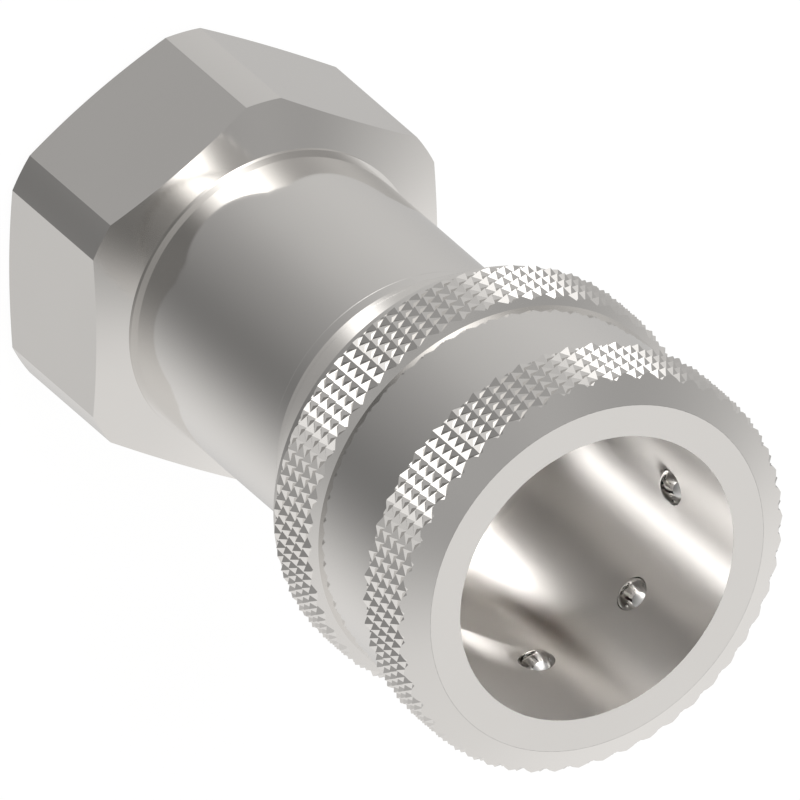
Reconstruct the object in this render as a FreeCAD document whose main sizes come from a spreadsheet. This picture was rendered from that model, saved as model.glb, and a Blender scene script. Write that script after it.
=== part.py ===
import FreeCAD, Part
import math
import os
import Sketcher

# Hydraulic quick coupler, female half, with ball lock, pull-back sleeve and poppet valve.
# The axis is +Z. The port face stands at height 0 and the mouth opens at the top.
# +X points at a corner of the hexagon and at the first locking ball.
# All sizes are millimetres. The pieces stack up from the port face, so that a changed
# length moves all that stands above it.

SIZES = {
    # Clearances used all over
    "running_clearance": 0.05,
    "seat_clearance": 0.03,
    # Port and guide seat, up from the port face
    "port_radius": 9.316,
    "port_thread_depth": 1.162,
    "port_depth": 14.0,
    "port_web": 1.0,
    # Hexagon and neck of the port body
    "hex_across_flats": 29.8,
    "hex_corner_cut": 0.805,
    "hex_front": 13.06,
    "hex_chamfer_slope": 0.3205,
    "hex_rear_edge": 0.83,
    "neck_lip": 0.3,
    "neck_lip_height": 0.32,
    # Valve guide
    "guide_thickness": 2.0,
    "guide_ledge": 1.2,
    "guide_hub_radius": 4.2,
    "guide_hub_height": 2.0,
    "guide_rim": 1.1,
    "guide_window_count": 4,
    "guide_arm_width": 3.0,
    # Valve spring
    "valve_spring_length": 9.5,
    "valve_wire": 1.0,
    "valve_spring_gap": 1.8,
    "valve_spring_turns": 3.5,
    # Poppet, its seal and nose
    "poppet_flange_thickness": 1.4,
    "poppet_thread_depth": 1.0,
    "stem_radius": 2.5,
    "stem_chamfer": 0.5,
    "spring_pilot_height": 1.2,
    "pilot_clearance": 0.3,
    "chamber_clearance": 0.6,
    "valve_seal_thickness": 1.4,
    "valve_seal_inner": 4.5,
    "valve_seal_cone": 1.1,
    "valve_seal_setback": 0.6,
    "valve_gap": 0.1,
    "nose_shaft_radius": 3.0,
    "nose_reach": 2.4,
    "nose_chamfer": 0.8,
    "cap_clearance": 0.3,
    "cap_thickness": 0.9,
    # Valve seat, seal gland and nose bore
    "seat_cone_height": 1.8,
    "throat_length": 0.6,
    "throat_step": 1.2,
    "gland_shelf": 1.01,
    "gland_depth": 1.4,
    "gland_start": 2.0,
    "seal_section": 1.75,
    "backup_thickness": 1.2,
    # Joint between the two bodies
    "spigot_wall": 1.6,
    "nose_wall": 2.8,
    "floor_thickness": 1.25,
    "body_seal_thickness": 1.0,
    "body_seal_wall": 1.4,
    # Nipple bore and the walls around it
    "bore_radius": 11.75,
    "entry_taper": 0.2,
    "bore_corner": 1.0,
    "neck_wall": 0.45,
    "barrel_wall": 1.45,
    "cage_wall": 2.15,
    "flange_lip": 0.65,
    "flange_thickness": 2.0,
    # Locking balls
    "ball_radius": 1.5875,
    "ball_count": 8,
    "ball_depth": 9.12,
    "ball_offset": 0.805,
    "ball_lip_clearance": 0.024,
    "ball_hole_clearance": 0.05,
    "ball_lip_height": 0.35,
    "cage_margin": 0.2425,
    # Sleeve spring and its seat
    "sleeve_spring_length": 9.1,
    "sleeve_wire": 1.2,
    "sleeve_spring_turns": 2.5,
    "spring_clearance": 0.22,
    "seat_thickness": 0.8,
    "snap_ring_thickness": 0.7,
    "snap_ring_reach": 1.0,
    "snap_ring_groove": 0.6,
    "snap_ring_gap_angle": 24.0,
    # Sleeve, inside
    "stop_ring_length": 0.7,
    "lock_clearance": 0.3,
    "lock_overlap": 1.0,
    "land_gap": 0.15,
    "release_clearance": 0.4175,
    "release_ramp": 1.5,
    "release_entry": 0.3,
    "pocket_step": 0.66,
    # Sleeve, outside
    "waist_wall": 0.8,
    "band_rise": 1.05,
    "chamfer_slope": 0.47,
    "front_band_end": 6.09,
    "rear_band_length": 4.57,
    # Rear collar
    "collar_offset": 1.2,
    "collar_length": 7.31,
    "collar_lap": 0.51,
    "collar_gap": 0.53,
    "collar_edge": 0.15,
    "collar_wall": 0.8,
    "collar_spigot_wall": 0.6,
    "collar_spigot_length": 2.6,
}


class Length:
    """A length that stays a formula of the sheet's cells."""

    def __init__(self, formula):
        self.formula = str(formula)

    def _join(self, sign, other):
        return Length("(%s %s %s)" % (self.formula, sign, Length.text(other)))

    @staticmethod
    def text(item):
        return item.formula if isinstance(item, Length) else repr(item)

    def __add__(self, other):
        return self._join("+", other)

    def __sub__(self, other):
        return self._join("-", other)

    def __mul__(self, other):
        return self._join("*", other)

    def __truediv__(self, other):
        return self._join("/", other)

    def value(self):
        """The number the formula gives now."""
        return float(sheet.evalExpression(self.formula))


def make_sheet(document):
    """The driving dimensions, one plain number in each aliased cell."""
    cells = document.addObject("Spreadsheet::Sheet", "Sizes")
    for row, (alias, number) in enumerate(SIZES.items(), start=1):
        cells.set("A%d" % row, alias)
        cells.set("B%d" % row, repr(number))
        cells.setAlias("B%d" % row, alias)
    document.recompute()
    return cells


def size(alias):
    """The named cell as a Length."""
    return Length("Sizes." + alias)


def bind(item, prop, length):
    """Tie one property to a formula."""
    item.setExpression(prop, Length.text(length))


def plane(body, role):
    """One of the body's own origin planes or axes."""
    return next(item for item in body.Origin.OriginFeatures if item.Role == role)


def new_sketch(body, name, role="XZ_Plane", lift=None):
    """A sketch on an origin plane, raised along Z by lift where it is given."""
    sketch = body.newObject("Sketcher::SketchObject", name)
    sketch.AttachmentSupport = (plane(body, role), [""])
    sketch.MapMode = "FlatFace"
    if lift is not None:
        axis = "y" if role == "XZ_Plane" else "z"
        bind(sketch, "AttachmentOffset.Base." + axis, lift)
    return sketch


def fix_point(sketch, line, across, along):
    """Place the first end of a line by two formulas, or on the axes where one is zero."""
    for kind, axis, item in (("DistanceX", -2, across), ("DistanceY", -1, along)):
        if item.formula == "0":
            sketch.addConstraint(Sketcher.Constraint("PointOnObject", line, 1, axis))
            continue
        number = item.value()
        index = sketch.addConstraint(Sketcher.Constraint(kind, -1, 1, line, 1, number))
        sketch.setExpression("Constraints[%d]" % index, item.formula)


def draw_outline(sketch, points):
    """A closed outline of straight lines through points given as pairs of formulas."""
    corners = [FreeCAD.Vector(across.value(), along.value(), 0) for across, along in points]
    count = len(corners)
    for index, corner in enumerate(corners):
        sketch.addGeometry(Part.LineSegment(corner, corners[(index + 1) % count]), False)
    for index in range(count):
        following = (index + 1) % count
        sketch.addConstraint(Sketcher.Constraint("Coincident", index, 2, following, 1))
    for index, (across, along) in enumerate(points):
        fix_point(sketch, index, across, along)


def draw_circle(sketch, across, along, radius):
    """A circle with its centre and radius bound."""
    centre = FreeCAD.Vector(across.value(), along.value(), 0)
    normal = FreeCAD.Vector(0, 0, 1)
    circle = sketch.addGeometry(Part.Circle(centre, normal, radius.value()), False)
    for kind, axis, item in (("DistanceX", -2, across), ("DistanceY", -1, along)):
        if item.formula == "0":
            sketch.addConstraint(Sketcher.Constraint("PointOnObject", circle, 3, axis))
            continue
        index = sketch.addConstraint(Sketcher.Constraint(kind, -1, 1, circle, 3, item.value()))
        sketch.setExpression("Constraints[%d]" % index, item.formula)
    index = sketch.addConstraint(Sketcher.Constraint("Radius", circle, radius.value()))
    sketch.setExpression("Constraints[%d]" % index, radius.formula)
    return circle


def new_body(label):
    """An empty body that will be one sub-part."""
    body = doc.addObject("PartDesign::Body", label)
    body.Label = label
    return body


def turned(label, points, angle=None):
    """A body turned about the axis from half of its section, as pairs of radius and height."""
    body = new_body(label)
    sketch = new_sketch(body, label + "_section")
    draw_outline(sketch, points)
    turn = body.newObject("PartDesign::Revolution", label + "_turned")
    turn.Profile = sketch
    turn.ReferenceAxis = (sketch, ["V_Axis"])
    turn.Angle = 360
    if angle is not None:
        bind(turn, "Angle", angle)
    sketch.Visibility = False
    doc.recompute()
    return body


def must_cut(body, feature, before):
    """Stop if a cut took nothing away."""
    doc.recompute()
    if not body.Shape.Volume < before - 1e-6:
        raise RuntimeError(feature.Name + " cuts nothing")


def circle_edges(shape, radius, height):
    """The names of the round edges with this radius about the axis at this height."""
    names = []
    for index, edge in enumerate(shape.Edges, start=1):
        curve = edge.Curve
        if not isinstance(curve, Part.Circle):
            continue
        if abs(curve.Radius - radius) < 1e-4 and abs(curve.Center.z - height) < 1e-4:
            names.append("Edge%d" % index)
    return names


doc = FreeCAD.newDocument("coupler")
sheet = make_sheet(doc)

ZERO = Length("0")
DIAGONAL = math.sqrt(0.5)
CLEARANCE = size("running_clearance")

# Radii, outwards from the nipple bore
BORE = size("bore_radius")
ENTRY = BORE + size("entry_taper")
NECK = BORE + size("neck_wall")
BARREL = BORE + size("barrel_wall")
CAGE = BORE + size("cage_wall")
FLANGE = CAGE + size("flange_lip")
BALL_CIRCLE = BORE + size("ball_offset")
LAND = BALL_CIRCLE + size("ball_radius") + size("lock_clearance")
RELEASE = BORE + size("ball_radius") * 2 + size("release_clearance")
POCKET = LAND + size("pocket_step")
WAIST = POCKET + size("waist_wall")
BAND = WAIST + size("band_rise")
COLLAR_GUIDE = NECK + CLEARANCE
COLLAR_TIP = COLLAR_GUIDE + size("collar_edge")

# Radii, inwards from the spigot between the two bodies
SPIGOT = NECK - size("spigot_wall")
NOSE_BORE = SPIGOT - size("nose_wall")
GLAND = NOSE_BORE + size("gland_depth")
THROAT_RADIUS = NOSE_BORE - size("throat_step")
SEAL_TOP_RADIUS = THROAT_RADIUS + size("valve_seal_setback") - size("valve_gap")
POPPET = SEAL_TOP_RADIUS + size("valve_seal_cone")
CHAMBER = POPPET + size("chamber_clearance")
VALVE_SPRING = CHAMBER - size("valve_spring_gap") - size("valve_wire") / 2
HEX_CORNER = size("hex_across_flats") / math.sqrt(3) - size("hex_corner_cut")

# Heights, up from the port face. The valve's seat is a cone of 45 degrees.
GUIDE_SEAT = size("port_depth") + size("port_web")
GUIDE_FACE = GUIDE_SEAT + size("guide_thickness")
POPPET_BACK = GUIDE_FACE + size("valve_spring_length")
SEAL_BOTTOM = POPPET_BACK + size("poppet_flange_thickness")
SEAL_TOP = SEAL_BOTTOM + size("valve_seal_thickness")
VALVE_SEAT = SEAL_TOP + size("valve_seal_setback")
THROAT = VALVE_SEAT + size("throat_length")
GLAND_BOTTOM = THROAT + size("gland_shelf")
GLAND_TOP = GLAND_BOTTOM + size("seal_section") + size("backup_thickness") + size("seat_clearance") * 3
BORE_FLOOR = GLAND_TOP + size("gland_start")
SEAM = BORE_FLOOR - size("floor_thickness")
SPIGOT_END = VALVE_SEAT - size("seat_cone_height")
SEAL_SHOULDER = SPIGOT_END - size("body_seal_thickness")
COLLAR_REAR = SEAM + size("collar_offset")
COLLAR_FRONT = COLLAR_REAR + size("collar_length")
SEAT_PLATE = COLLAR_FRONT - size("collar_lap")
LAND_END = SEAT_PLATE + size("sleeve_spring_length")
CAGE_END = LAND_END + size("land_gap")
BALL_PLANE = CAGE_END + size("cage_margin") + size("ball_radius")
MOUTH = BALL_PLANE + size("ball_depth")


def collar_inside(radius):
    """Height at which the collar's inner cone has this radius."""
    slope = (COLLAR_FRONT - COLLAR_REAR) / (BAND - COLLAR_TIP)
    return COLLAR_REAR + (radius + size("collar_wall") - COLLAR_TIP) * slope


def make_socket_body():
    """Front body: nipple bore, ball cage, front flange, nose bore, valve seat and spigot."""
    groove_top = SEAT_PLATE - size("seat_thickness")
    groove_bottom = groove_top - size("snap_ring_thickness") - CLEARANCE
    groove_radius = BARREL - size("snap_ring_groove")
    seat_end_radius = THROAT_RADIUS + size("seat_cone_height")
    body = turned("socket_body", [
        (ENTRY, MOUTH),
        (FLANGE, MOUTH),
        (FLANGE, MOUTH - size("flange_thickness")),
        (CAGE, MOUTH - size("flange_thickness")),
        (CAGE, CAGE_END),
        (BARREL, CAGE_END),
        (BARREL, groove_top),
        (groove_radius, groove_top),
        (groove_radius, groove_bottom),
        (BARREL, groove_bottom),
        (BARREL, collar_inside(BARREL) + size("collar_gap")),
        (NECK, collar_inside(NECK) + size("collar_gap")),
        (NECK, SEAM),
        (SPIGOT, SEAM),
        (SPIGOT, SPIGOT_END),
        (seat_end_radius, SPIGOT_END),
        (THROAT_RADIUS, VALVE_SEAT),
        (THROAT_RADIUS, THROAT),
        (NOSE_BORE, THROAT),
        (NOSE_BORE, GLAND_BOTTOM),
        (GLAND, GLAND_BOTTOM),
        (GLAND, GLAND_TOP),
        (NOSE_BORE, GLAND_TOP),
        (NOSE_BORE, BORE_FLOOR),
        (BORE, BORE_FLOOR),
        (BORE, CAGE_END),
    ])
    round_bore_corner(body)
    cut_ball_holes(body)
    return body


def round_bore_corner(body):
    """The radius between the nipple bore and its floor."""
    turn = body.Tip
    corner = body.newObject("PartDesign::Fillet", "bore_corner_round")
    corner.Base = (turn, circle_edges(turn.Shape, BORE.value(), BORE_FLOOR.value()))
    bind(corner, "Radius", size("bore_corner"))
    doc.recompute()


def cut_ball_holes(body):
    """Radial ball holes that narrow to a lip at the bore, so that a ball can't fall inwards."""
    wall = BORE + size("entry_taper") * (BALL_PLANE - CAGE_END) / (MOUTH - CAGE_END)
    inset = BALL_CIRCLE - wall
    lip = size("ball_radius") * size("ball_radius") - inset * inset
    lip_radius = Length("sqrt%s" % lip.formula) + size("ball_lip_clearance")
    hole_radius = size("ball_radius") + size("ball_hole_clearance")
    inside = BALL_CIRCLE - size("ball_radius")
    outside = CAGE + size("cage_wall")
    sketch = new_sketch(body, "ball_hole_section", lift=BALL_PLANE)
    draw_outline(sketch, [
        (inside, ZERO),
        (inside, lip_radius),
        (wall, lip_radius),
        (wall + size("ball_lip_height"), hole_radius),
        (outside, hole_radius),
        (outside, ZERO),
    ])
    before = body.Shape.Volume
    hole = body.newObject("PartDesign::Groove", "ball_hole")
    hole.Profile = sketch
    hole.ReferenceAxis = (sketch, ["H_Axis"])
    hole.Angle = 360
    must_cut(body, hole, before)
    ring = body.newObject("PartDesign::PolarPattern", "ball_holes")
    ring.Originals = [hole]
    ring.Axis = (plane(body, "Z_Axis"), [""])
    ring.Angle = 360
    bind(ring, "Occurrences", size("ball_count"))
    before = body.Shape.Volume
    body.Tip = ring
    must_cut(body, ring, before)


def make_port_body():
    """Rear body: hexagon with the port thread's bore, valve chamber and plain neck."""
    slope = size("hex_chamfer_slope")
    lip = NECK + size("neck_lip")
    lip_height = size("hex_front") + (HEX_CORNER - lip) * slope
    rear_radius = HEX_CORNER - size("hex_rear_edge") / slope
    thread_socket = SPIGOT + CLEARANCE
    port_throat = CHAMBER - size("guide_ledge")
    body = turned("port_body", [
        (size("port_radius") + size("port_thread_depth"), ZERO),
        (rear_radius, ZERO),
        (HEX_CORNER, size("hex_rear_edge")),
        (HEX_CORNER, size("hex_front")),
        (lip, lip_height),
        (lip, lip_height + size("neck_lip_height")),
        (NECK, lip_height + size("neck_lip_height")),
        (NECK, SEAM),
        (thread_socket, SEAM),
        (thread_socket, SEAL_SHOULDER),
        (CHAMBER, SEAL_SHOULDER),
        (CHAMBER, GUIDE_SEAT),
        (port_throat, GUIDE_SEAT),
        (port_throat, size("port_depth")),
        (size("port_radius"), size("port_depth")),
        (size("port_radius"), size("port_thread_depth")),
    ])
    cut_flats(body, lip_height)
    return body


def cut_flats(body, hex_end):
    """Mill the six wrench flats, with corners at 0, 60, 120 degrees and so on."""
    sketch = new_sketch(body, "flats_section", "XY_Plane")
    draw_circle(sketch, ZERO, ZERO, HEX_CORNER * 2)
    first = sketch.GeometryCount
    reach = size("hex_across_flats").value() / math.sqrt(3)
    corners = [
        FreeCAD.Vector(reach * math.cos(turn * math.pi / 3), reach * math.sin(turn * math.pi / 3), 0)
        for turn in range(6)
    ]
    for index, start in enumerate(corners):
        sketch.addGeometry(Part.LineSegment(start, corners[(index + 1) % 6]), False)
    for index in range(6):
        sketch.addConstraint(Sketcher.Constraint("Coincident", first + index, 2, first + (index + 1) % 6, 1))
    ring = sketch.addGeometry(Part.Circle(FreeCAD.Vector(), FreeCAD.Vector(0, 0, 1), reach), True)
    sketch.addConstraint(Sketcher.Constraint("Coincident", ring, 3, -1, 1))
    for index in range(6):
        sketch.addConstraint(Sketcher.Constraint("PointOnObject", first + index, 1, ring))
    for index in range(1, 6):
        sketch.addConstraint(Sketcher.Constraint("Equal", first, first + index))
    sketch.addConstraint(Sketcher.Constraint("PointOnObject", first, 1, -1))
    radius = sketch.addConstraint(Sketcher.Constraint("Radius", ring, reach))
    sketch.setExpression("Constraints[%d]" % radius, "Sizes.hex_across_flats / sqrt(3)")
    before = body.Shape.Volume
    flats = body.newObject("PartDesign::Pocket", "wrench_flats")
    flats.Profile = sketch
    flats.Reversed = True
    bind(flats, "Length", hex_end)
    must_cut(body, flats, before)


def make_body_seal():
    """Flat sealing ring clamped between the spigot's end and the port body's shoulder."""
    outer = SPIGOT - CLEARANCE
    inner = outer - size("body_seal_wall")
    return turned("body_seal_ring", [
        (inner, SEAL_SHOULDER),
        (outer, SEAL_SHOULDER),
        (outer, SPIGOT_END),
        (inner, SPIGOT_END),
    ])


def make_sleeve():
    """Sleeve: two raised grip bands outside, stop ring, release groove and lock land inside."""
    face = FLANGE + CLEARANCE
    band_start = MOUTH - (BAND - face) * size("chamfer_slope")
    shoulder = size("band_rise") * size("chamfer_slope")
    front_end = MOUTH - size("front_band_end")
    rear_start = COLLAR_FRONT + size("rear_band_length")
    counterbore = POCKET + size("collar_spigot_wall")
    counterbore_top = COLLAR_FRONT + size("collar_spigot_length") + CLEARANCE
    land_start = BALL_PLANE + size("lock_overlap")
    stop_front = MOUTH - size("flange_thickness") - CLEARANCE
    stop_rear = stop_front - size("stop_ring_length")
    stop_radius = CAGE + CLEARANCE
    return turned("sleeve", [
        (face, MOUTH),
        (BAND, band_start),
        (BAND, front_end),
        (WAIST, front_end - shoulder),
        (WAIST, rear_start + shoulder),
        (BAND, rear_start),
        (BAND, COLLAR_FRONT),
        (counterbore, COLLAR_FRONT),
        (counterbore, counterbore_top),
        (POCKET, counterbore_top),
        (POCKET, LAND_END),
        (LAND, LAND_END),
        (LAND, land_start),
        (RELEASE, land_start + size("release_ramp")),
        (RELEASE, stop_rear - size("release_entry")),
        (stop_radius, stop_rear),
        (stop_radius, stop_front),
        (face, stop_front),
    ])


def make_sleeve_collar():
    """Tapered collar that closes the sleeve's rear and runs on the neck."""
    spigot = POCKET + size("collar_spigot_wall") - size("seat_clearance")
    spigot_top = COLLAR_FRONT + size("collar_spigot_length")
    return turned("sleeve_rear_collar", [
        (COLLAR_GUIDE, COLLAR_REAR),
        (COLLAR_TIP, COLLAR_REAR),
        (BAND, COLLAR_FRONT),
        (spigot, COLLAR_FRONT),
        (spigot, spigot_top),
        (POCKET, spigot_top),
        (POCKET, collar_inside(POCKET)),
        (COLLAR_GUIDE, collar_inside(COLLAR_GUIDE)),
    ])


def make_spring_seat():
    """Washer that carries the rear end of the sleeve spring."""
    inner = BARREL + CLEARANCE
    outer = POCKET - size("spring_clearance")
    return turned("spring_seat_washer", [
        (inner, SEAT_PLATE - size("seat_thickness")),
        (outer, SEAT_PLATE - size("seat_thickness")),
        (outer, SEAT_PLATE),
        (inner, SEAT_PLATE),
    ])


def make_snap_ring():
    """Open snap ring in the barrel's groove, behind the washer."""
    top = SEAT_PLATE - size("seat_thickness")
    bottom = top - size("snap_ring_thickness")
    inner = BARREL - size("snap_ring_groove") + CLEARANCE
    outer = BARREL + size("snap_ring_reach")
    span = Length("(360 - %s)" % size("snap_ring_gap_angle").formula)
    return turned("seat_snap_ring", [
        (inner, bottom),
        (outer, bottom),
        (outer, top),
        (inner, top),
    ], span)


def make_coil(label, mean_radius, wire, bottom, top, turns):
    """Compression spring of round wire between two heights."""
    body = new_body(label)
    sketch = new_sketch(body, label + "_wire")
    draw_circle(sketch, mean_radius, bottom + wire / 2, wire / 2)
    coil = body.newObject("PartDesign::AdditiveHelix", label + "_coil")
    coil.Profile = sketch
    coil.ReferenceAxis = (sketch, ["V_Axis"])
    coil.Mode = "height-turns-angle"
    bind(coil, "Height", top - bottom - wire)
    bind(coil, "Turns", turns)
    doc.recompute()
    return body


def make_sleeve_spring():
    """Spring that holds the sleeve forward, over the locking balls."""
    wire = size("sleeve_wire")
    mean_radius = POCKET - size("spring_clearance") - wire / 2
    turns = size("sleeve_spring_turns")
    return make_coil("sleeve_spring", mean_radius, wire, SEAT_PLATE, LAND_END, turns)


def make_valve_spring():
    """Spring that closes the poppet."""
    turns = size("valve_spring_turns")
    return make_coil("valve_spring", VALVE_SPRING, size("valve_wire"), GUIDE_FACE, POPPET_BACK, turns)


def make_balls():
    """The locking balls at rest, standing a little way into the bore."""
    balls = []
    for index in range(SIZES["ball_count"]):
        ball = doc.addObject("Part::Sphere", "ball_%d" % (index + 1))
        ball.Label = ball.Name
        bind(ball, "Radius", size("ball_radius"))
        turn = "%d * 360 / Sizes.ball_count" % index
        bind(ball, "Placement.Base.x", Length("%s * cos(%s)" % (BALL_CIRCLE.formula, turn)))
        bind(ball, "Placement.Base.y", Length("%s * sin(%s)" % (BALL_CIRCLE.formula, turn)))
        bind(ball, "Placement.Base.z", BALL_PLANE)
        balls.append(ball)
    return balls


def make_nipple_seal():
    """Round-section seal ring in the nose bore's gland."""
    ring = doc.addObject("Part::Torus", "nipple_seal_ring")
    ring.Label = ring.Name
    section = size("seal_section") / 2
    bind(ring, "Radius1", GLAND - size("seat_clearance") - section)
    bind(ring, "Radius2", section)
    bind(ring, "Placement.Base.z", GLAND_BOTTOM + size("seat_clearance") + section)
    return ring


def make_backup_ring():
    """Flat plastic ring that keeps the seal from being washed towards the mouth."""
    top = GLAND_TOP - size("seat_clearance")
    bottom = top - size("backup_thickness")
    outer = GLAND - size("seat_clearance")
    inner = NOSE_BORE
    return turned("nipple_backup_ring", [
        (inner, bottom),
        (outer, bottom),
        (outer, top),
        (inner, top),
    ])


def make_valve_seal():
    """Moulded ring that closes on the conical seat."""
    return turned("poppet_seal", [
        (size("valve_seal_inner"), SEAL_BOTTOM),
        (POPPET, SEAL_BOTTOM),
        (POPPET, SEAL_TOP - size("valve_seal_cone")),
        (SEAL_TOP_RADIUS, SEAL_TOP),
        (size("valve_seal_inner"), SEAL_TOP),
    ])


def make_poppet_nose():
    """Nose that the mating half pushes, and whose disc clamps the seal."""
    cap_radius = THROAT_RADIUS - size("cap_clearance")
    tip = THROAT + size("nose_reach")
    thread_end = SEAL_BOTTOM - size("poppet_thread_depth")
    return turned("poppet_nose", [
        (ZERO, thread_end),
        (size("nose_shaft_radius"), thread_end),
        (size("nose_shaft_radius"), SEAL_TOP),
        (cap_radius, SEAL_TOP),
        (cap_radius, SEAL_TOP + size("cap_thickness")),
        (size("nose_shaft_radius"), SEAL_TOP + size("cap_thickness")),
        (size("nose_shaft_radius"), tip - size("nose_chamfer")),
        (size("nose_shaft_radius") - size("nose_chamfer"), tip),
        (ZERO, tip),
    ])


def make_poppet():
    """Poppet: flange behind the seal, spring pilot and guided stem."""
    bore = size("nose_shaft_radius")
    boss = size("valve_seal_inner")
    bore_end = SEAL_BOTTOM - size("poppet_thread_depth")
    pilot = VALVE_SPRING - size("valve_wire") / 2 - size("pilot_clearance")
    pilot_end = POPPET_BACK - size("spring_pilot_height")
    stem_end = GUIDE_SEAT + size("stem_chamfer")
    return turned("valve_poppet", [
        (ZERO, bore_end),
        (ZERO, stem_end),
        (size("stem_radius") - size("stem_chamfer"), stem_end),
        (size("stem_radius"), stem_end + size("stem_chamfer")),
        (size("stem_radius"), pilot_end),
        (pilot, pilot_end),
        (pilot, POPPET_BACK),
        (POPPET, POPPET_BACK),
        (POPPET, SEAL_BOTTOM),
        (boss, SEAL_BOTTOM),
        (boss, SEAL_TOP),
        (bore, SEAL_TOP),
        (bore, bore_end),
    ])


def make_guide():
    """Spider that guides the stem, carries the spring and lets the oil through."""
    rim = CHAMBER - CLEARANCE
    bore = size("stem_radius") + CLEARANCE
    hub_top = GUIDE_FACE + size("guide_hub_height")
    body = turned("valve_guide", [
        (bore, GUIDE_SEAT),
        (rim, GUIDE_SEAT),
        (rim, GUIDE_FACE),
        (size("guide_hub_radius"), GUIDE_FACE),
        (size("guide_hub_radius"), hub_top),
        (bore, hub_top),
    ])
    cut_guide_windows(body, rim - size("guide_rim"))
    return body


def cut_guide_windows(body, outer):
    """Flow windows between the spider's arms."""
    half_arm = size("guide_arm_width") / 2
    inner = size("guide_hub_radius")
    sketch = new_sketch(body, "window_section", "XY_Plane", lift=GUIDE_FACE)
    corner = Length("sqrt%s" % (inner * inner - half_arm * half_arm).formula)
    reach = Length("sqrt%s" % (outer * outer - half_arm * half_arm).formula)
    draw_outline(sketch, [
        (corner, half_arm),
        (reach, half_arm),
        (outer * DIAGONAL, outer * DIAGONAL),
        (half_arm, reach),
        (half_arm, corner),
        (inner * DIAGONAL, inner * DIAGONAL),
    ])
    before = body.Shape.Volume
    window = body.newObject("PartDesign::Pocket", "flow_window")
    window.Profile = sketch
    bind(window, "Length", size("guide_thickness"))
    must_cut(body, window, before)
    ring = body.newObject("PartDesign::PolarPattern", "flow_windows")
    ring.Originals = [window]
    ring.Axis = (plane(body, "Z_Axis"), [""])
    ring.Angle = 360
    bind(ring, "Occurrences", size("guide_window_count"))
    body.Tip = ring
    doc.recompute()


def check_and_write(nodes):
    """Stop on any failed object, then write each sub-part to its own file."""
    doc.recompute()
    for item in doc.Objects:
        if "Invalid" in item.State or "Error" in item.State:
            raise RuntimeError("%s failed: %s" % (item.Name, item.State))
    os.makedirs("parts", exist_ok=True)
    for node in nodes:
        if node.Shape.isNull() or not node.Shape.isValid():
            raise RuntimeError(node.Label + " has no valid shape")
        node.Shape.exportStep("parts/%s.step" % node.Label)


check_and_write([
    make_socket_body(),
    make_port_body(),
    make_body_seal(),
    make_sleeve(),
    make_sleeve_collar(),
    make_sleeve_spring(),
    make_spring_seat(),
    make_snap_ring(),
    make_nipple_seal(),
    make_backup_ring(),
    make_poppet_nose(),
    make_valve_seal(),
    make_poppet(),
    make_valve_spring(),
    make_guide(),
] + make_balls())
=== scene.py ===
"""Looks of the hydraulic quick coupler, female half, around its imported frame.

The axis is +Z, the port face stands at height 0 and the mouth opens at the top. Sizes are metres
and angles radians, unless a name ends in _deg or the points stand in metres().
"""

import logging
import math
from dataclasses import dataclass, field
from enum import Enum
from itertools import product
from typing import Optional, Sequence, Union

import bpy
from mathutils import Matrix, Vector

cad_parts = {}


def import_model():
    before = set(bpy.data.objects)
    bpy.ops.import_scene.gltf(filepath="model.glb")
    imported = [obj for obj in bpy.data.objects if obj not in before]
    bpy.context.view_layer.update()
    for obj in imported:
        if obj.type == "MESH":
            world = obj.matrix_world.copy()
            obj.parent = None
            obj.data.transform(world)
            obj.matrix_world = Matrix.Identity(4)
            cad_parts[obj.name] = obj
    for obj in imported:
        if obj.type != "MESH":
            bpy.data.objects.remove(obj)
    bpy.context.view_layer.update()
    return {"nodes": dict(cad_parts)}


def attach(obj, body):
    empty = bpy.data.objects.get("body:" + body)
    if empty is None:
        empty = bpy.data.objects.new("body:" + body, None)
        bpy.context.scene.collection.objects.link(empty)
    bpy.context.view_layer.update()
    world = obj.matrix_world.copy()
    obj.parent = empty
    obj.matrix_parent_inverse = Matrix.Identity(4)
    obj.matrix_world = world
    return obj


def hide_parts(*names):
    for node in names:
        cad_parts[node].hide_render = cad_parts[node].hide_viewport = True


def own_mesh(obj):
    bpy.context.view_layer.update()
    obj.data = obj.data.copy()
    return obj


logging.basicConfig(level=logging.INFO, format="%(message)s")
log = logging.getLogger("coupler")

MM = 0.001
TURN = 2 * math.pi
Point = tuple[float, float]
Place = tuple[float, float, float]


def link(name: str, data: bpy.types.ID) -> bpy.types.Object:
    """Makes an object of some data and links it to the scene.

    Args:
        name: the object's name.
        data: its mesh, lamp or camera.

    Returns:
        The object.
    """
    obj = bpy.data.objects.new(name, data)
    bpy.context.scene.collection.objects.link(obj)
    return obj


# ---- node helpers

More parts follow.
